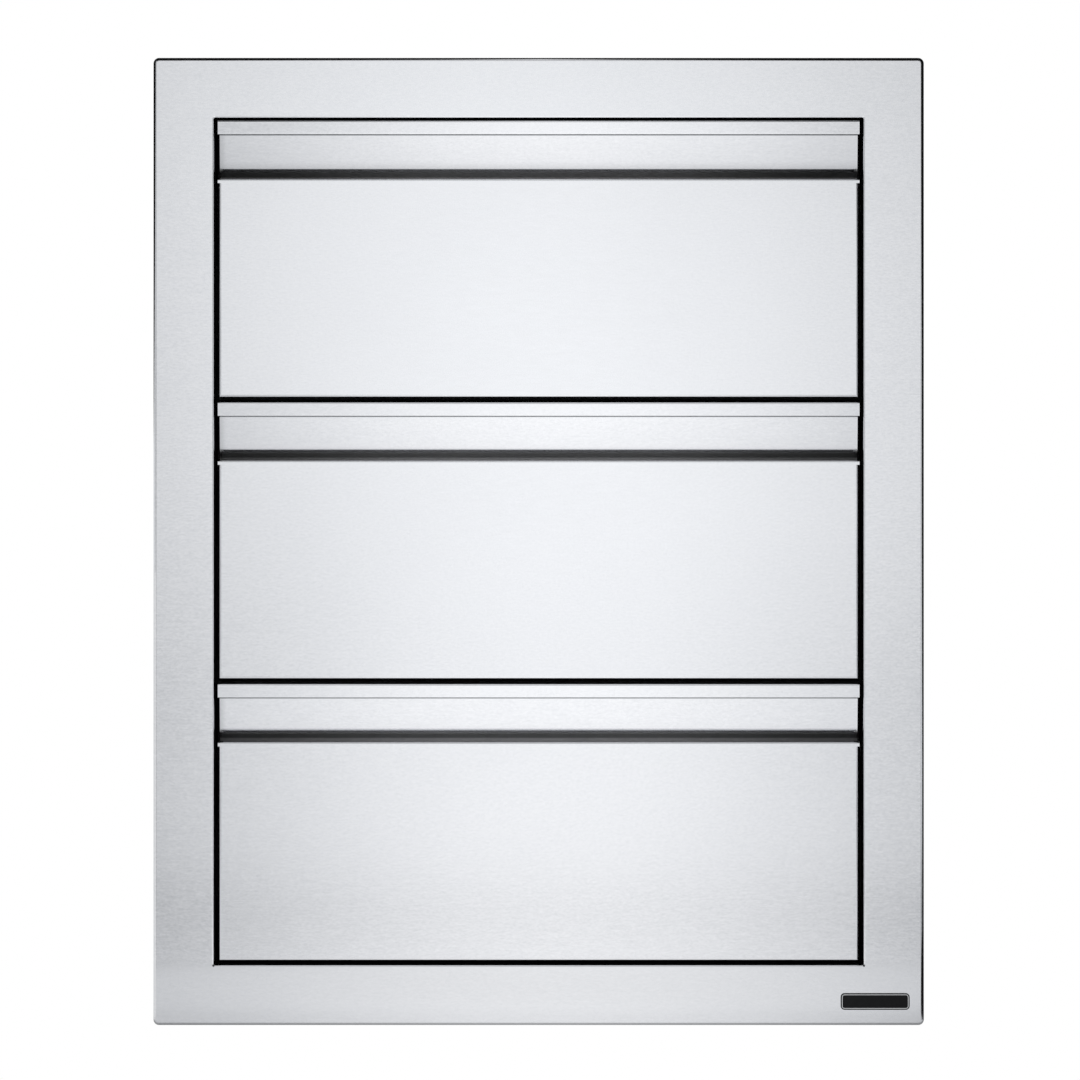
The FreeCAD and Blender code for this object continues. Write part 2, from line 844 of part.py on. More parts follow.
def make_inner_rail(name):
    """Rail screwed to the tub, running inside the middle rail."""
    web = slide_thickness - rail_sheet / 2
    flange = inner_flange - rail_sheet / 2
    section = doubled([(inner_tip, flange), (web, flange)])
    rail = slide_sheet(section, name, rail_sheet, slide_front, slide_rear)
    races = two_races(name, inner_ball_u, inner_ball_v, inner_race_radius)
    return drilled(rail, races + rail_screw_holes(name))


def ball_places():
    """Distances from front to back of the balls in a row."""
    room = cage_rear - cage_front - 2 * cage_end
    count = int(room / ball_pitch) + 1
    middle = (cage_front + cage_rear) / 2
    span = (count - 1) * ball_pitch / 2
    return evenly(middle - span, middle + span, count)


def make_cage(name, web, tip, u, v, radius):
    """Strip folded to a channel, with a hole for each ball in its two legs, for both walls."""
    section = doubled([(tip, v), (web, v)])
    cage = slide_sheet(section, name, cage_sheet, cage_front, cage_rear)
    x = wall_inner - u
    z = slide_middle(name)
    holes = [rod(radius + ball_hole_gap, V(x, y, z - slide_height), V(x, y, z + slide_height))
             for y in ball_places()]
    return Part.makeCompound(both_sides(drilled(cage, holes)))


def make_outer_cage(name):
    web = rail_sheet + cage_room / 2
    tip = outer_reach - rail_sheet - cage_gap
    return make_cage(name, web, tip, outer_ball_u, outer_ball_v, outer_ball_radius)


def make_inner_cage(name):
    web = mid_web + rail_sheet + cage_room / 2
    tip = mid_reach - rail_sheet - cage_gap
    return make_cage(name, web, tip, inner_ball_u, inner_ball_v, inner_ball_radius)


def make_balls(name, u, v, radius):
    """Upper and lower row of balls in both slides of a drawer."""
    z = slide_middle(name)
    places = [V(wall_inner - u, y, z + side * v) for y in ball_places() for side in (-1, 1)]
    balls = [Part.makeSphere(radius, place) for place in places]
    return Part.makeCompound([ball for each in balls for ball in both_sides(each)])


def rail_rivet_depths():
    """Distances from front to back of the rivets that hold an outer rail."""
    margin = slide_rivet_margin
    return evenly(slide_front + margin, slide_rear - margin, slide_rivets_per_rail)


def slide_rivet_places():
    """Depth and height of every rivet that holds a slide to one side wall."""
    return [(y, slide_middle(name)) for name in drawer_names for y in rail_rivet_depths()]


def flared_shank(clearance, place):
    """Rivet shank through rail and wall, flared where it ends flush inside the rail."""
    radius = slide_rivet_radius + clearance
    grip = rail_sheet + box_sheet
    shank = Part.makeCylinder(radius, grip, V(0, 0, -grip))
    flare = Part.makeCone(radius + slide_rivet_flare, radius, slide_rivet_flare, V(0, 0, -grip))
    return turned(joined([shank, flare]), place, V(1, 0, 0))


def slide_rivet_holes(name):
    z = slide_middle(name)
    return [flared_shank(hole_clearance, V(wall_outer, y, z)) for y in rail_rivet_depths()]


def make_slide_rivets():
    """Flush rivets of all the slides, with their low heads outside the walls."""
    rivets = []
    for y, z in slide_rivet_places():
        place = V(wall_outer, y, z)
        head = Part.makeCylinder(slide_rivet_head_radius, rivet_head_height)
        head = rounded(head, rivet_head_height / 2, level_with("z", rivet_head_height))
        whole = joined([turned(head, place, V(1, 0, 0)), flared_shank(0, place)])
        rivets += both_sides(whole)
    return Part.makeCompound(rivets)


# The whole unit


def save(name, shape):
    shape.exportStep("parts/" + name + ".step")


def save_pair(name, shape):
    """Saves a right-hand piece and its mirror image as two nodes."""
    save(name + "_right", shape)
    save(name + "_left", mirrored(shape))


def save_carcass():
    right_wall = make_right_wall()
    save("face_frame", make_face_frame())
    save("badge_plate", make_badge_plate())
    save("right_wall", right_wall)
    save("left_wall", mirrored(right_wall))
    save("top_wall", make_top_wall())
    save("floor_pan", make_floor_pan())
    save("rear_wall", make_rear_wall())
    save("upper_cross_rail", make_cross_rail("top"))
    save("lower_cross_rail", make_cross_rail("middle"))
    save("sill_rail", make_sill_rail())
    save("wall_rivets", make_wall_rivets())
    save("slide_rivets", make_slide_rivets())


def save_drawer(name):
    save("front_skin_" + name, make_front_skin(name))
    save("pull_channel_" + name, make_pull_channel(name))
    save("front_liner_" + name, make_front_liner(name))
    save("tub_" + name, make_tub(name))
    save("drawer_seal_" + name, make_drawer_seal(name))
    save("drawer_screws_" + name, make_drawer_screws(name))
    save_pair("outer_rail_" + name, make_outer_rail(name))
    save_pair("mid_rail_" + name, make_mid_rail(name))
    save_pair("inner_rail_" + name, make_inner_rail(name))
    save("outer_cage_" + name, make_outer_cage(name))
    save("inner_cage_" + name, make_inner_cage(name))
    save("outer_balls_" + name, make_balls(name, outer_ball_u, outer_ball_v, outer_ball_radius))
    save("inner_balls_" + name, make_balls(name, inner_ball_u, inner_ball_v, inner_ball_radius))


os.makedirs("parts", exist_ok=True)
save_carcass()
for drawer in drawer_names:
    save_drawer(drawer)
print("travel", travel, "front height", round(front_height, 3))
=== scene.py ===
import math

import bpy
import numpy as np
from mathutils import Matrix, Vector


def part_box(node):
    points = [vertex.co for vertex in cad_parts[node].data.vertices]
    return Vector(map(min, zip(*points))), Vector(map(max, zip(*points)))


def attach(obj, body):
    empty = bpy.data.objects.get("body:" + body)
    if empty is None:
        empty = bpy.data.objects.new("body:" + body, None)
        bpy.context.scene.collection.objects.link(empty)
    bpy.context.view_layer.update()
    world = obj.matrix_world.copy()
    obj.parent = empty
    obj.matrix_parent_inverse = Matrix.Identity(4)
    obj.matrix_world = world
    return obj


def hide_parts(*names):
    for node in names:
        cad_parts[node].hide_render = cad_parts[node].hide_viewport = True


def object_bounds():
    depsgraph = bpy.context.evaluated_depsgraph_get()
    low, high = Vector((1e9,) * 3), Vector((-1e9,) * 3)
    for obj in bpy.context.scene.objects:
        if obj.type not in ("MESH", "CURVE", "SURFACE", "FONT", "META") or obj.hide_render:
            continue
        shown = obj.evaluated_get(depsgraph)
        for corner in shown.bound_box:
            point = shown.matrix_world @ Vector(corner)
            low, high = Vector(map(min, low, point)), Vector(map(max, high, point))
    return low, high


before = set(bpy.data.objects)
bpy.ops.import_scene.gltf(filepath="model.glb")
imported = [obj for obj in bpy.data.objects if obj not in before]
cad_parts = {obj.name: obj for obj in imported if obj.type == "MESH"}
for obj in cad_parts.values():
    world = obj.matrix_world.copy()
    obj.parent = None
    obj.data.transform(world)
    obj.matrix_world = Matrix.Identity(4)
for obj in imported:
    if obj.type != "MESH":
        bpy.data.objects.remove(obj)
cad_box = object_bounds()

mm = 0.001
drawers = ("top", "middle", "bottom")
sides = ("left", "right")


# Shader maths


class Value:
    """A number or colour that varies over a surface, so that shader maths reads as plain sums."""

    def __init__(self, tree, socket):
        self.tree = tree
        self.socket = socket

    def math(self, operation, *operands):
        """The operation on the operands, or on this value alone where none are given."""
        values = operands or (self,)
        return self.tree.node("ShaderNodeMath", {"operation": operation}, {
            place: value for place, value in enumerate(values)
        })[0]

    def __add__(self, other):
        return self.math("ADD", self, other)

    def __radd__(self, other):
        return self.math("ADD", other, self)

    def __sub__(self, other):
        return self.math("SUBTRACT", self, other)

    def __rsub__(self, other):
        return self.math("SUBTRACT", other, self)

    def __mul__(self, other):
        return self.math("MULTIPLY", self, other)

    def __rmul__(self, other):
        return self.math("MULTIPLY", other, self)

    def __truediv__(self, other):
        return self.math("DIVIDE", self, other)

    def __rpow__(self, other):
        return self.math("POWER", other, self)

    def __neg__(self):
        return self.math("MULTIPLY", self, -1)

    def modulo(self, step):
        return self.math("FLOORED_MODULO", self, step)

    def away_from(self, middle):
        return (self - middle).math("ABSOLUTE")

    def larger(self, other):
        return self.math("MAXIMUM", self, other)


class Outputs:
    """What a node gives, by name or by number."""

    def __init__(self, tree, made):
        self.tree = tree
        self.made = made

    def __getitem__(self, name):
        return Value(self.tree, self.made.outputs[name])


class Tree:
    """The nodes of one material or of the world."""

    def __init__(self, owner):
        owner.use_nodes = True
        self.nodes = owner.node_tree.nodes
        self.links = owner.node_tree.links
        self.nodes.clear()

    def node(self, kind, settings=None, inputs=None):
        """Adds a node, with its settings first and then the values or links of its sockets, and
        returns its outputs."""
        made = self.nodes.new(kind)
        for name, value in (settings or {}).items():
            setattr(made, name, value)
        for name, value in (inputs or {}).items():
            if isinstance(value, Value):
                self.links.new(value.socket, made.inputs[name])
            else:
                made.inputs[name].default_value = value
        return Outputs(self, made)

    def place(self):
        """The point of the object that is shaded, in metres."""
        return self.node("ShaderNodeTexCoord")["Object"]

    def axes(self):
        """The coordinates of that point, by the names X, Y and Z."""
        return self.node("ShaderNodeSeparateXYZ", {}, {"Vector": self.place()})

    def stretched(self, scale):
        """The point with each of its coordinates times a number."""
        return self.node("ShaderNodeMapping", {"vector_type": "POINT"}, {
            "Vector": self.place(), "Scale": scale,
        })["Vector"]

    def noise(self, scale, detail=2.0, rough=0.5):
        """Noise from 0 to 1, about 0.5, with as many grains to the metre as the scale says."""
        return self.node("ShaderNodeTexNoise", {"noise_dimensions": "3D"}, {
            "Vector": self.stretched(scale), "Scale": 1.0, "Detail": detail, "Roughness": rough,
        })["Fac"]

    def between(self, share, low, high, blend="MIX"):
        """Colour that goes from the low one to the high one as the share goes from 0 to 1."""
        made = self.nodes.new("ShaderNodeMix")
        made.data_type = "RGBA"
        made.blend_type = blend
        low, high = (end if isinstance(end, Value) else (*end, 1) for end in (low, high))
        ends = {"Factor_Float": share, "A_Color": low, "B_Color": high}
        for socket in made.inputs:
            value = ends.get(socket.identifier)
            if isinstance(value, Value):
                self.links.new(value.socket, socket)
            elif value is not None:
                socket.default_value = value
        return Value(self, next(s for s in made.outputs if s.identifier == "Result_Color"))

    def times(self, colour, factor):
        """One colour times another, or times a share that varies over the surface."""
        return self.between(1.0, colour, factor, "MULTIPLY")

    def clamped(self, value, low, high):
        return self.node("ShaderNodeClamp", {}, {
            "Value": value, "Min": low, "Max": high,
        })["Result"]

    def band(self, value, start, end):
        """Goes smoothly from 0 where the value is at its start to 1 at its end."""
        return self.node("ShaderNodeMapRange", {"interpolation_type": "SMOOTHSTEP"}, {
            "Value": value, "From Min": start, "From Max": end,
        })["Result"]

    def bump(self, height, strength, distance):
        return self.node("ShaderNodeBump", {}, {
            "Height": height, "Strength": strength, "Distance": distance,
        })["Normal"]

    def glow(self, colour, strength):
        return self.node("ShaderNodeEmission", {}, {
            "Color": colour, "Strength": strength,
        })["Emission"]

    def mixed(self, share, first, second):
        """Shader that goes from the first to the second as the share goes from 0 to 1."""
        return self.node("ShaderNodeMixShader", {}, {0: share, 1: first, 2: second})["Shader"]

    def seen_directly(self):
        """1 where the camera itself looks, 0 in reflections and for light."""
        return self.node("ShaderNodeLightPath")["Is Camera Ray"]

    def end(self, shader, kind="ShaderNodeOutputMaterial"):
        self.node(kind, {}, {"Surface": shader})


def bell(across, along):
    """Bell curve in two directions, 1 in its middle."""
    return math.e ** (-0.5 * (across * across + along * along))


def finish(name, **sockets):
    """Material of one Principled shader, with each socket's number, colour or function of the
    tree that works it out."""
    material = bpy.data.materials.new(name)
    tree = Tree(material)
    inputs = {
        socket.replace("_", " "): value(tree) if callable(value) else value
        for socket, value in sockets.items()
    }
    tree.end(tree.node("ShaderNodeBsdfPrincipled", {}, inputs)["BSDF"])
    return material


# Brushed steel. The brushing runs across the unit, so its grains are longest along x. Grains are
# counted to the metre.

fine_scratches = (420.0, 950.0, 950.0)
broad_scratches = (90.0, 520.0, 520.0)
clouds = (9, 9, 9)
scratch_height = 0.02 * mm
steel_low = (0.821, 0.834, 0.861)
steel_high = (0.921, 0.931, 0.956)
frame_steel_low = (0.804, 0.818, 0.846)
frame_steel_high = (0.936, 0.945, 0.969)


def brushed(low, high):
    """Colour of brushed steel: hair-fine scratches in two widths over a broad and faint
    cloudiness."""
    def colour(tree):
        share = 0.6 * tree.noise(fine_scratches, 2.0) + 0.24 * tree.noise(broad_scratches, 1.0) \
            + 0.16 * tree.noise(clouds, 2.0)
        return tree.between(tree.clamped(2.8 * share - 0.9, 0, 1), low, high)
    return colour


def brushed_gloss(middle, spread):
    """Roughness that changes from scratch to scratch."""
    def roughness(tree):
        scratches = tree.noise(fine_scratches, 1.0) + tree.noise(broad_scratches, 1.0)
        return middle + spread * (scratches - 1.0)
    return roughness


def ridges(tree):
    """Height of the scratches' slight ridges, from 0 to about 2."""
    return tree.noise(fine_scratches, 2.0) + tree.noise(broad_scratches, 1.0)


def brushed_bump(strength):
    def normal(tree):
        return tree.bump(ridges(tree), strength, scratch_height)
    return normal


# The frame. Its collar, which runs inwards round the opening, is painted dark as shade.

frame_low, frame_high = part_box("face_frame")
frame_face = frame_low[1]
flange_width = 38.0 * mm
opening_half = 204.5 * mm
opening_middle = (frame_low[2] + frame_high[2]) / 2
opening_rise = frame_high[2] - flange_width - opening_middle
collar_start = (0.7 * mm, 1.1 * mm)
collar_edge = (1.5 * mm, 1.8 * mm)
# Near black: painted shade on the collar round the opening.
collar_shade_grey = (0.10, 0.10, 0.10)
calm_share = 0.55
calm_height = 8.0 * mm


def collar_shaded_colour(low, high, dull):
    """Brushed colour, calmer below the opening, and on the collar painted dark as shade: behind
    the face and within a little of the opening's edge."""
    def colour(tree):
        axes = tree.axes()
        across = axes["X"].away_from(0) - opening_half
        up = axes["Z"].away_from(opening_middle) - opening_rise
        behind = tree.band(axes["Y"], *(frame_face + depth for depth in collar_start))
        inside = behind * (1 - tree.band(across.larger(up), *collar_edge))
        middle = tuple((dark + bright) / 2 for dark, bright in zip(low, high))
        calm = calm_share * (1 - tree.band(axes["Z"], 0, calm_height))
        steel = tree.between(calm, brushed(low, high)(tree), middle)
        # Painted shade: dark on the collar, behind the face and round the opening's edge.
        return tree.between(inside, steel, dull)
    return colour


# The drawers' channels. Depths are in metres below the top edge of a drawer front: the crease
# under the cap, the start of the finger pocket and, deeper in it, the throat. Falls and gains are
# shares of the steel's brightness: painted shade and painted highlight.

channel_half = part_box("pull_channel_top")[1][0]
stack_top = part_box("pull_channel_top")[1][2]
stack_pitch = stack_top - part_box("pull_channel_middle")[1][2]
crease_depth = 9.15 * mm
crease_width = 0.5 * mm
# Painted shade in the crease under the cap: its strength and its grey.
crease_shade_share = 0.75
crease_shade_grey = (0.42, 0.43, 0.44)
cap_lean = 0.10
# Painted highlight on the cap, and painted shade down the recess, at its foot and at its left-hand
# end.
cap_highlight_gain = 0.04
recess_shade_fall = 0.05
foot_shade_fall = 0.26
foot_reach = 6.3 * mm
foot_overlap = 2.8 * mm
end_shade_fall = 0.22
end_shade_fade = 6.0 * mm
pocket_depth = 30.3 * mm
pocket_fade = 2.2 * mm
# Painted shade: the finger pocket's dark grey, darker towards its ends and lighter in its throat.
pocket_shade_grey = (0.32, 0.32, 0.32)
end_rise = 1.4 * mm
end_rise_from = (3.2 * mm, 1.6 * mm)
dusk_shade_fall = 0.34
dusk_shade_start = 60.0 * mm
throat_depth = 34.2 * mm
throat_fade = 1.2 * mm
throat_grey = (0.75, 0.75, 0.76)
throat_metal_drop = 0.6


def fold_depth(tree):
    """Depth of a point below the top edge of the drawer front that it belongs to: the fronts
    repeat at one pitch, so it is the depth below the top front's edge, modulo the pitch."""
    return (stack_top - tree.axes()["Z"]).modulo(stack_pitch)


def channel_colour(low, high):
    """Brushed colour with painted light and shade: a painted highlight on the cap and painted
    shade in the crease under it. The recess is painted greyer towards its foot and its left-hand
    end, and the finger pocket is painted dark as shade, most of all towards its two ends."""
    def colour(tree):
        below = fold_depth(tree)
        # Painted shade along the crease under the cap.
        line = tree.band(below, crease_depth - crease_width, crease_depth) \
            * (1 - tree.band(below, crease_depth, crease_depth + crease_width))
        shade = tree.between(line * crease_shade_share, (1, 1, 1), crease_shade_grey)
        shade = tree.times(brushed(low, high)(tree), shade)
        shade = tree.times(shade, channel_painted_light(tree, below))
        # Painted shade in the finger pocket, darker towards its two ends.
        pocket = tree.between(throat_share(tree, below), pocket_shade_grey, throat_grey)
        across = tree.axes()["X"].away_from(0)
        pocket_end_shade = 1 - dusk_shade_fall * tree.band(across, dusk_shade_start, channel_half)
        return tree.between(pocket_share(tree, below), shade, tree.times(pocket, pocket_end_shade))
    return colour


def channel_painted_light(tree, below):
    """Share of the steel's brightness that is left at a depth, as painted light and shade: all of
    it and a little more on the cap, a painted highlight, and painted shade that is less along the
    recess and least at its foot and left-hand end. The painted shade at the foot reaches higher
    up, the higher the drawer."""
    axes = tree.axes()
    recess = tree.band(below, crease_depth, crease_depth + crease_width)
    rise = (axes["Z"] + below) / stack_top
    recess_slope_shade = recess_shade_fall * rise * tree.band(below, crease_depth, pocket_depth)
    foot_start = pocket_depth - foot_reach * rise * rise
    foot = foot_shade_fall * tree.band(below, foot_start, pocket_depth + foot_overlap)
    end = end_shade_fall * (1 - tree.band(axes["X"] + channel_half, 0, end_shade_fade))
    # Painted highlight on the cap; painted shade along the recess, at its foot and at its
    # left-hand end.
    return (1 - recess_slope_shade - foot) * (1 - recess * end) + cap_highlight_gain * (1 - recess)


def pocket_share(tree, below):
    """0 on the open recess and 1 in the finger pocket, which starts a little higher at its two
    ends."""
    across = tree.axes()["X"].away_from(0)
    higher = end_rise * tree.band(across, *(channel_half - inset for inset in end_rise_from))
    return tree.band(below + higher, pocket_depth, pocket_depth + pocket_fade)


def throat_share(tree, below):
    return tree.band(below, throat_depth, throat_depth + throat_fade)


def channel_gloss(middle, spread, pocket):
    def roughness(tree):
        inside = pocket_share(tree, fold_depth(tree))
        open_gloss = brushed_gloss(middle, spread)(tree)
        return open_gloss + inside * (pocket - open_gloss)
    return roughness


def channel_metal(tree):
    """Bare metal, but partly dull, less metallic, in the pocket's throat."""
    return 1 - throat_metal_drop * throat_share(tree, fold_depth(tree))


def channel_bump(strength):
    """Ridges of the scratches, on a cap whose face leans back slightly towards its foot, most on
    the top drawer and less on the lower ones."""
    def normal(tree):
        scratches = ridges(tree) * (strength * scratch_height)
        height = tree.axes()["Z"]
        below = fold_depth(tree)
        lean = tree.clamped(below, 0, crease_depth) * (height + below) * (cap_lean / stack_top)
        return tree.bump(scratches - lean, 1.0, 1.0)
    return normal


front_steel = finish(
    "front_steel",
    Base_Color=brushed(steel_low, steel_high),
    Metallic=1.0,
    Roughness=brushed_gloss(0.17, 0.05),
    Normal=brushed_bump(0.10),
)
frame_steel = finish(
    "frame_steel",
    Base_Color=collar_shaded_colour(frame_steel_low, frame_steel_high, collar_shade_grey),
    Metallic=1.0,
    Roughness=brushed_gloss(0.17, 0.05),
    Normal=brushed_bump(0.06),
)
channel_steel = finish(
    "channel_steel",
    Base_Color=channel_colour(steel_low, steel_high),
    Metallic=channel_metal,
    Roughness=channel_gloss(0.15, 0.05, 0.34),
    Normal=channel_bump(0.10),
)


# Other metals, rubber and coats

roll_lines = (900, 14, 900)
roll_height = 0.03 * mm
rail_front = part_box("outer_rail_top_left")[0][1]
cut_end = (0.1 * mm, 0.5 * mm)
# Painted shade at the rails' front ends.
cut_end_shade_grey = (0.03, 0.03, 0.03)


def cloudy(low, high, scale):
    """Colour of dull rolled or plated metal: soft clouds with a finer mottle in them."""
    def colour(tree):
        share = 0.6 * tree.noise((scale,) * 3, 3.0) + 0.4 * tree.noise((scale * 12,) * 3, 2.0)
        return tree.between(tree.clamped(2.2 * share - 0.6, 0, 1), low, high)
    return colour


def cloudy_gloss(middle, spread, scale):
    def roughness(tree):
        return middle + spread * (tree.noise((scale,) * 3, 3.0) - 0.5)
    return roughness


def rolled_bump(strength):
    """Faint lines left by the rolls, along the depth of the unit."""
    def normal(tree):
        return tree.bump(tree.noise(roll_lines, 2.0), strength, roll_height)
    return normal


def rail_colour(low, high, cut):
    """Plated colour, near black at the front ends: painted shade."""
    def colour(tree):
        along = tree.band(tree.axes()["Y"], *(rail_front + depth for depth in cut_end))
        return tree.between(along, cut, cloudy(low, high, 90)(tree))
    return colour


sheet_steel = finish(
    "sheet_steel",
    Base_Color=cloudy((0.63, 0.64, 0.65), (0.70, 0.71, 0.72), 18),
    Metallic=1.0,
    Roughness=cloudy_gloss(0.34, 0.10, 30),
    Normal=rolled_bump(0.12),
)
# Near black on the cross rails and sill: painted shade, so that the gaps between the fronts show
# dark.
coat_black = finish(
    "coat_black",
    Base_Color=cloudy((0.008, 0.008, 0.009), (0.016, 0.016, 0.017), 60),
    Roughness=cloudy_gloss(0.55, 0.10, 200),
    Specular_IOR_Level=0.3,
)
rail_zinc = finish(
    "rail_zinc",
    Base_Color=rail_colour((0.66, 0.69, 0.73), (0.78, 0.80, 0.83), cut_end_shade_grey),
    Metallic=1.0,
    Roughness=cloudy_gloss(0.28, 0.12, 140),
)
cage_steel = finish(
    "cage_steel",
    Base_Color=cloudy((0.50, 0.50, 0.51), (0.60, 0.60, 0.61), 120),
    Metallic=1.0,
    Roughness=cloudy_gloss(0.38, 0.10, 200),
)
ball_steel = finish(
    "ball_steel",
    Base_Color=cloudy((0.76, 0.77, 0.79), (0.82, 0.83, 0.85), 300),
    Metallic=1.0,
    Roughness=0.08,
)
rivet_steel = finish(
    "rivet_steel",
    Base_Color=cloudy((0.55, 0.56, 0.57), (0.66, 0.67, 0.68), 260),
    Metallic=1.0,
    Roughness=cloudy_gloss(0.32, 0.14, 300),
)
screw_steel = finish(
    "screw_steel",
    Base_Color=cloudy((0.62, 0.63, 0.64), (0.74, 0.75, 0.76), 300),
    Metallic=1.0,
    Roughness=cloudy_gloss(0.24, 0.10, 300),
)
seal_rubber = finish(
    "seal_rubber",
    Base_Color=cloudy((0.010, 0.010, 0.011), (0.022, 0.022, 0.023), 240),
    Roughness=cloudy_gloss(0.68, 0.12, 300),
    Normal=rolled_bump(0.2),
)
plate_black = finish(
    "plate_black",
    Base_Color=cloudy((0.007, 0.007, 0.008), (0.013, 0.013, 0.014), 400),
    Roughness=cloudy_gloss(0.30, 0.08, 500),
    Specular_IOR_Level=0.12,
)
plate_rim = finish(
    "plate_rim",
    Base_Color=cloudy((0.78, 0.79, 0.81), (0.86, 0.87, 0.88), 300),
    Metallic=1.0,
    Roughness=0.14,
)


# Surfaces worked out with numpy, in millimetres


def rounded_outline(half, low, high, radius, steps=8):
    """Rectangle across x and z with rounded corners: at each corner a quarter circle of the
    radius about a centre that lies one radius inside both edges."""
    turn = np.linspace(0, math.pi / 2, steps)
    quarters = []
    for corner, (x, z) in enumerate((
        (half - radius, high - radius), (radius - half, high - radius),
        (radius - half, low + radius), (half - radius, low + radius),
    )):
        angle = turn + corner * math.pi / 2
        quarters.append(np.stack([x + radius * np.cos(angle), z + radius * np.sin(angle)], 1))
    return np.concatenate(quarters)


def arc(centre, radius, start, end, steps):
    """Points of an arc in the section of a piece, from one angle in degrees to another."""
    angle = np.radians(np.linspace(start, end, steps))
    return list(zip(centre[0] + radius * np.cos(angle), centre[1] + radius * np.sin(angle)))


def at_depth(outline, y):
    """Outline in x and z, stood at one depth."""
    return np.stack([outline[:, 0], np.full(len(outline), y), outline[:, 1]], 1)


def ring_surface(rows, closed):
    """Vertices and faces of a surface whose rows are closed outlines of equal length; closed
    joins the last row to the first."""
    grid = np.stack(rows)
    count, around = grid.shape[:2]
    index = np.arange(count * around).reshape(count, around)
    last = count if closed else count - 1
    here = index[:last]
    there = np.roll(index, -1, 0)[:last]
    faces = np.stack([here, np.roll(here, -1, 1), np.roll(there, -1, 1), there], 2)
    return grid.reshape(-1, 3), [tuple(face) for face in faces.reshape(-1, 4)]


def end_faces(count, around):
    """The faces that close an open ring surface at its first and at its last row."""
    return [tuple(range(around - 1, -1, -1)), tuple(range(count - around, count))]


def enclosed(vertices, polygons):
    """Volume inside a closed surface, positive where its faces point outwards: the sum over its
    faces, cut into triangles, of one sixth of each three corners' triple product."""
    total = 0.0
    for polygon in polygons:
        points = vertices[np.asarray(polygon)]
        starts = np.broadcast_to(points[0], points[1:-1].shape)
        total += np.einsum("ij,ij->", starts, np.cross(points[1:-1], points[2:])) / 6
    return total


def piece(name, vertices, polygons, materials, slots=None, sharp=40):
    """Smooth-shaded object, turned outside out if need be, whose edges over an angle in degrees
    stay sharp."""
    if enclosed(vertices, polygons) < 0:
        polygons = [tuple(polygon)[::-1] for polygon in polygons]
    mesh = bpy.data.meshes.new(name)
    mesh.from_pydata((vertices * mm).tolist(), [], [tuple(map(int, p)) for p in polygons])
    mesh.polygons.foreach_set("use_smooth", np.ones(len(polygons), bool))
    if slots is not None:
        mesh.polygons.foreach_set("material_index", np.asarray(slots, np.int32))
    mesh.set_sharp_from_angle(angle=math.radians(sharp))
    for material in materials:
        mesh.materials.append(material)
    mesh.validate()
    made = bpy.data.objects.new(name, mesh)
    bpy.context.scene.collection.objects.link(made)
    return made


# Dressing the sheet metal

merge_distance = 0.002 * mm
sharp_fold = math.radians(30)


def fold_shading():
    """Node group that merges a solid's loose triangles, shades them smooth and keeps its sharp
    folds sharp."""
    group = bpy.data.node_groups.new("fold_shading", "GeometryNodeTree")
    group.interface.new_socket("Geometry", in_out="INPUT", socket_type="NodeSocketGeometry")
    group.interface.new_socket("Geometry", in_out="OUTPUT", socket_type="NodeSocketGeometry")
    start = group.nodes.new("NodeGroupInput")
    end = group.nodes.new("NodeGroupOutput")
    merge = group.nodes.new("GeometryNodeMergeByDistance")
    merge.inputs["Distance"].default_value = merge_distance
    faces = group.nodes.new("GeometryNodeSetShadeSmooth")
    faces.domain = "FACE"
    edges = group.nodes.new("GeometryNodeSetShadeSmooth")
    edges.domain = "EDGE"
    angle = group.nodes.new("GeometryNodeInputMeshEdgeAngle")
    gentle = group.nodes.new("FunctionNodeCompare")
    gentle.operation = "LESS_THAN"
    gentle.inputs["B"].default_value = sharp_fold
    join = group.links.new
    join(start.outputs["Geometry"], merge.inputs["Geometry"])
    join(merge.outputs["Geometry"], faces.inputs["Geometry"])
    join(faces.outputs["Geometry"], edges.inputs["Geometry"])
    join(angle.outputs["Unsigned Angle"], gentle.inputs["A"])
    join(gentle.outputs["Result"], edges.inputs["Shade Smooth"])
    join(edges.outputs["Geometry"], end.inputs["Geometry"])
    return group


shading = fold_shading()


def dress(node, material):
    """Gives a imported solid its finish, and shades its folds round and its flats flat."""
    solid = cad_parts[node]
    solid.data.materials.clear()
    solid.data.materials.append(material)
    smooth = solid.modifiers.new("fold_shading", "NODES")
    smooth.node_group = shading
    weighted = solid.modifiers.new("flat_flats", "WEIGHTED_NORMAL")
    weighted.keep_sharp = True
    weighted.weight = 80


def dress_all():
    dress("face_frame", frame_steel)
    for node in ("left_wall", "right_wall", "top_wall", "floor_pan", "rear_wall"):
        dress(node, sheet_steel)
    # Near black: painted shade in the gaps between the fronts.
    for node in ("upper_cross_rail", "lower_cross_rail", "sill_rail"):
        dress(node, coat_black)
    for node in ("wall_rivets", "slide_rivets"):
        dress(node, rivet_steel)
    for name in drawers:
        for node, material in (
            ("front_skin", front_steel), ("pull_channel", channel_steel),
            ("front_liner", sheet_steel), ("tub", sheet_steel), ("drawer_screws", screw_steel),
            ("outer_cage", cage_steel), ("inner_cage", cage_steel),
            ("outer_balls", ball_steel), ("inner_balls", ball_steel),
        ):
            dress(f"{node}_{name}", material)
        for side in sides:
            for node in ("outer_rail", "mid_rail", "inner_rail"):
                dress(f"{node}_{name}_{side}", rail_zinc)


# Rubber seals, in millimetres

web_thickness = 2.1
bead_radius = 1.5
seal_proud = 0.2
window_gap = 0.3
window_margin = 13.0
window_corner = 2.0
pad_inset = 18.0
pad_height = 7.5
pad_radius = 5.0
pad_rounding = 1.0
pad_sides = 28


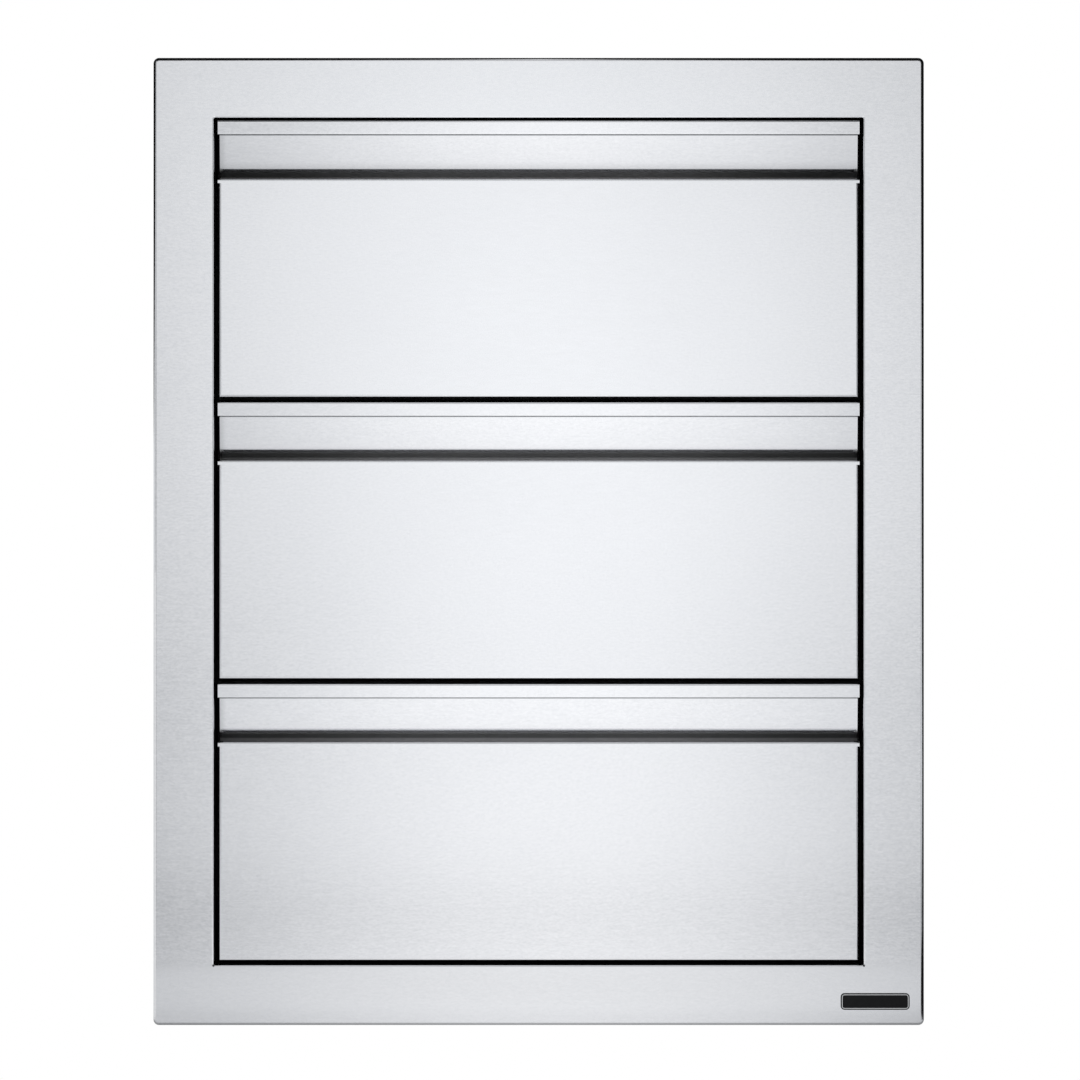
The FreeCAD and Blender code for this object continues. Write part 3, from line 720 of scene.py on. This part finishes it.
def make_drawer_seal(name):
    """Seal with a round bead along its outer edge, a thinner web inside it and a small rib where
    the web ends: its section, given as insets and depths, is carried round two rounded
    rectangles. Two domed pads stand on it near its foot."""
    low, high = (np.array(corner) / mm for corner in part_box("drawer_seal_" + name))
    front = low[1]
    web_back = front + web_thickness
    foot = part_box("front_skin_" + name)[0][2] / mm
    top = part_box("pull_channel_" + name)[1][2] / mm
    window_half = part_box("tub_" + name)[1][0] / mm + window_gap
    pad_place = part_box("front_liner_" + name)[1][0] / mm - pad_inset

    def outer(inset):
        """Outline of the seal, drawn in from an edge that stands a little proud all round."""
        inset = inset - seal_proud
        return rounded_outline(
            high[0] - inset, low[2] + inset, high[2] - inset, max(1.0 - inset, 0.3), steps=5
        )

    def inner(out):
        """Outline of the seal's window, widened by a distance."""
        return rounded_outline(
            window_half + out, foot + window_margin - out, top - window_margin + out,
            window_corner + out, steps=5,
        )

    bead = arc((bead_radius, front + bead_radius), bead_radius, 250, 40, 11)
    edge = [(2.6, front)] + bead + [(3.2, web_back + 0.12), (3.8, web_back)]
    rib = [(1.6, web_back), (1.2, web_back + 0.5), (0.5, web_back + 0.5), (0.0, web_back),
           (0.0, front)]
    rows = [at_depth(outer(inset), y) for inset, y in edge]
    rows += [at_depth(inner(out), y) for out, y in rib]
    vertices, polygons = ring_surface(rows, closed=True)
    for x in (-pad_place, pad_place):
        pad, pad_faces = round_pad(x, foot + pad_height, web_back - 0.4, high[1])
        polygons += [tuple(np.array(face) + len(vertices)) for face in pad_faces]
        vertices = np.concatenate([vertices, pad])
    made = piece("moulded_seal_" + name, vertices, polygons, [seal_rubber])
    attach(made, "drawer_" + name)
    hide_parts("drawer_seal_" + name)


def round_pad(x, z, start, end):
    """Domed pad: circles about a line along y, full size to just short of the end and then drawn
    in along a quarter circle, closed by a flat at each end."""
    dome = arc((pad_radius - pad_rounding, end - pad_rounding), pad_rounding, 15, 90, 6)
    section = [(pad_radius, start), (pad_radius, end - pad_rounding)] + dome
    angle = np.linspace(0, 2 * math.pi, pad_sides, endpoint=False)
    across, up = np.cos(angle), np.sin(angle)
    rows = [
        np.stack([x + radius * across, np.full(pad_sides, y), z + radius * up], 1)
        for radius, y in section
    ]
    vertices, faces = ring_surface(rows, closed=False)
    return vertices, faces + end_faces(len(vertices), pad_sides)


# Blank plate, in millimetres

plate_corner = 2.4
plate_edge = 0.35


def make_badge_plate():
    """Blank plate: a black rounded edge, a thin bright line on it, and inside them a black field
    that rises slightly to its middle. Its section, given as insets and depths, is carried round a
    rounded rectangle."""
    low, high = (np.array(corner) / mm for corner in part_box("badge_plate"))
    middle = (low + high) / 2
    half = (high[0] - low[0]) / 2
    rise = (high[2] - low[2]) / 2
    face, back = low[1], high[1]

    def row(inset, y):
        radius = max(plate_corner - inset, 0.4)
        outline = rounded_outline(half - inset, inset - rise, rise - inset, radius)
        return at_depth(outline + [middle[0], middle[2]], y)

    turns = np.linspace(0.3, math.pi / 2, 5)
    edge = [(0.0, back), (0.0, face + plate_edge)]
    edge += [
        (plate_edge - plate_edge * math.cos(turn), face + plate_edge - plate_edge * math.sin(turn))
        for turn in turns
    ]
    line = [(0.75, face), (1.10, face), (1.16, face + 0.34)]
    field = [(1.3, face + 0.33), (1.7, face + 0.28), (2.4, face + 0.23), (3.6, face + 0.20)]
    rows = [row(inset, y) for inset, y in edge + line + field]
    vertices, faces = ring_surface(rows, closed=False)
    around = len(rows[0])
    band = np.arange(len(faces)) // around
    bright = (band >= len(edge)) & (band < len(edge) + len(line) - 1)
    polygons = faces + end_faces(len(vertices), around)
    slots = [*bright.astype(int), 0, 0]
    made = piece("blank_plate", vertices, polygons, [plate_black, plate_rim], slots, sharp=35)
    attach(made, "carcass")
    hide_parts("badge_plate")


# Studio: the floor, cards and flags, in millimetres, and the light that they give, whose lengths
# are in metres. The cards across the floor are given by their distance ahead and their height.

floor_level = cad_box[0].z / mm - 0.1
floor_reach = 9000.0
step_half = 1500.0
step_cards = ((125.0, 26.0), (360.0, 30.0), (600.0, 45.0))
flag_gap = 30.0
flag_back = 35.0
white = (1, 1, 1, 1)
matt_grey = (0.31, 0.31, 0.31, 1)
view_distance = 2.7
pool_middle = 0.012
pool_width = 0.217
pool_length = 16
weak_pool_colour = (0.955, 0.972, 1)
full_pool_colour = (0.998, 0.998, 1)


def stage_sheet(name, corners, faces, shader, seen=True):
    """Flat sheets of the studio with one material, whose shader is a function of its tree."""
    mesh = bpy.data.meshes.new(name)
    mesh.from_pydata((np.array(corners) * mm).tolist(), [], faces)
    material = bpy.data.materials.new(name)
    tree = Tree(material)
    tree.end(shader(tree))
    mesh.materials.append(material)
    sheet = bpy.data.objects.new(name, mesh)
    sheet.visible_camera = seen
    bpy.context.scene.collection.objects.link(sheet)


def pool_of_light(tree, axes):
    """Share of the light that stands in a pool straight in front of the unit: a bell curve
    across, a little narrower further out, times a much wider one along."""
    ahead = -axes["Y"]
    width = pool_width - 0.022 * tree.band(ahead, 0.1, 0.6) \
        - 0.007 * tree.clamped(ahead, 0, 6) - 0.03 * tree.band(ahead, 4.0, 5.6)
    across = (axes["X"] / (1 + ahead / view_distance) - pool_middle) / width
    return bell(across, ahead / pool_length)


def pool_colour(tree, pool):
    """Slightly bluer where the pool of light is weak."""
    return tree.between(pool, weak_pool_colour, full_pool_colour)


def make_floor():
    """Plain pale floor just under the unit, a flat square, lit most in front of its middle, less
    right at the unit's foot, and evenly well beside and behind it. The camera sees it white, and
    through it from below."""
    def shader(tree):
        """The floor's glow is a share for the distance ahead, times the pool of light, with an
        even glow beside and behind, on matt grey."""
        seen = tree.seen_directly()
        axes = tree.axes()
        ahead = -axes["Y"]
        foot = 0.3 + 0.48 * tree.band(ahead, 0.0152, 0.0185) + 0.22 * tree.band(ahead, 0.08, 0.16)
        depth = 1.04 - 0.08 * tree.band(ahead, 0.5, 0.75) + 0.10 * tree.band(ahead, 1.3, 2.5)
        pool = pool_of_light(tree, axes)
        widening = 1 + tree.clamped(ahead, 0, floor_reach * mm) / view_distance
        beside = tree.band(axes["X"].away_from(0) / widening, 0.45, 1.0)
        behind = tree.band(ahead, 0.0, -0.25)
        strength = foot * depth * (0.12 + 0.72 * pool) + 0.45 * beside.larger(behind)
        glow = tree.glow(pool_colour(tree, pool), strength)
        matt = tree.node("ShaderNodeBsdfDiffuse", {}, {"Color": matt_grey})["BSDF"]
        lit = tree.node("ShaderNodeAddShader", {}, {0: glow, 1: matt})["Shader"]
        clear = tree.node("ShaderNodeBsdfTransparent")["BSDF"]
        below = tree.node("ShaderNodeNewGeometry")["Backfacing"]
        return tree.mixed(seen, lit, tree.mixed(below, tree.glow(white, 1.0), clear))

    reach = floor_reach
    corners = [(-reach, -reach, floor_level), (reach, -reach, floor_level),
               (reach, reach, floor_level), (-reach, reach, floor_level)]
    stage_sheet("studio_floor", corners, [(0, 1, 2, 3)], shader)


def make_steps():
    """Three low upright cards across the floor in front of the unit, as an edge of duller paper
    gives, which only reflections at a low angle see."""
    def shader(tree):
        axes = tree.axes()
        pool = pool_of_light(tree, axes)
        near = 0.42 + 0.46 * pool
        beyond = 0.20 + 0.71 * pool
        past = tree.band(-axes["Y"], 0.2, 0.3)
        return tree.glow(pool_colour(tree, pool), near + past * (beyond - near))

    corners = [
        (x, -ahead, floor_level + up)
        for ahead, rise in step_cards
        for x, up in ((-step_half, 0), (step_half, 0), (step_half, rise), (-step_half, rise))
    ]
    faces = [tuple(range(first, first + 4)) for first in range(0, len(corners), 4)]
    stage_sheet("floor_steps", corners, faces, shader, seen=False)


def make_flag(name, corners, glow=0.006):
    """Black flag, or pale card where it glows, close to an edge of the frame, which only
    reflections see: one flat face."""
    faces = [tuple(range(len(corners)))]
    stage_sheet(name, corners, faces, lambda tree: tree.glow(white, glow), seen=False)


def make_flags():
    low, high = (np.array(corner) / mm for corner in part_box("face_frame"))
    right, left, top = high[0] + flag_gap, low[0] - flag_gap, high[2] + flag_gap
    foot, back = low[2], flag_back
    make_flag("flag_right", [
        (right, -110, foot - 5), (right, back, foot - 5), (right, back, top), (right, -130, top),
        (right, -52, 400), (right, -33, 130), (right, -35, 20), (right, -110, -20),
    ])
    make_flag("flag_left", [
        (left, 0, 330), (left, back, 380), (left, back, top), (left, -60, top), (left, -30, 450),
    ])
    make_flag("card_left", [
        (left, -90, foot), (left, back, foot), (left, back, 250), (left, -90, 250),
    ], glow=0.74)
    make_flag("flag_top", [
        (left, -110, top), (left, back, top), (right, back, top), (right, -110, top),
        (0, -22, top),
    ])


def make_world():
    """Soft studio light: a bright patch straight ahead of the drawer fronts, falling off to a
    duller surround, and an even brightness beside, above and behind the unit. The camera itself
    sees plain white."""
    world = bpy.data.worlds.new("studio_light")
    bpy.context.scene.world = world
    tree = Tree(world)
    direction = tree.node("ShaderNodeTexCoord")["Generated"]
    axes = tree.node("ShaderNodeSeparateXYZ", {}, {"Vector": direction})
    x, y, z = axes["X"], axes["Y"], axes["Z"]
    patch = bell((x - 0.007 + 0.12 * z) / 0.064, (z - 0.02) / 0.12) * tree.clamped(-y, 0, 1)
    surround = 0.51 + 0.2 * tree.clamped(z, -0.2, 0.3)
    strength = surround + 0.75 * patch + 0.26 * tree.band(y, -0.55, 0.1)
    light, plain = (
        tree.node("ShaderNodeBackground", {}, {"Color": colour, "Strength": amount})["Background"]
        for colour, amount in (((0.985, 0.992, 1, 1), strength), (white, 1.0))
    )
    tree.end(tree.mixed(tree.seen_directly(), light, plain), "ShaderNodeOutputWorld")


def make_camera():
    """Camera level with the middle of the picture, 2.7 m in front of the drawer fronts."""
    lens = bpy.data.cameras.new("camera")
    lens.sensor_width = 36.0
    lens.lens = 142.9
    camera = bpy.data.objects.new("camera", lens)
    camera.location = (0.00085, -2.715, 0.2699)
    camera.rotation_euler = (math.pi / 2, 0, 0)
    bpy.context.scene.collection.objects.link(camera)
    bpy.context.scene.camera = camera


dress_all()
make_badge_plate()
for drawer in drawers:
    make_drawer_seal(drawer)
make_floor()
make_steps()
make_flags()
make_world()
make_camera()
bpy.context.scene.view_settings.view_transform = "Standard"
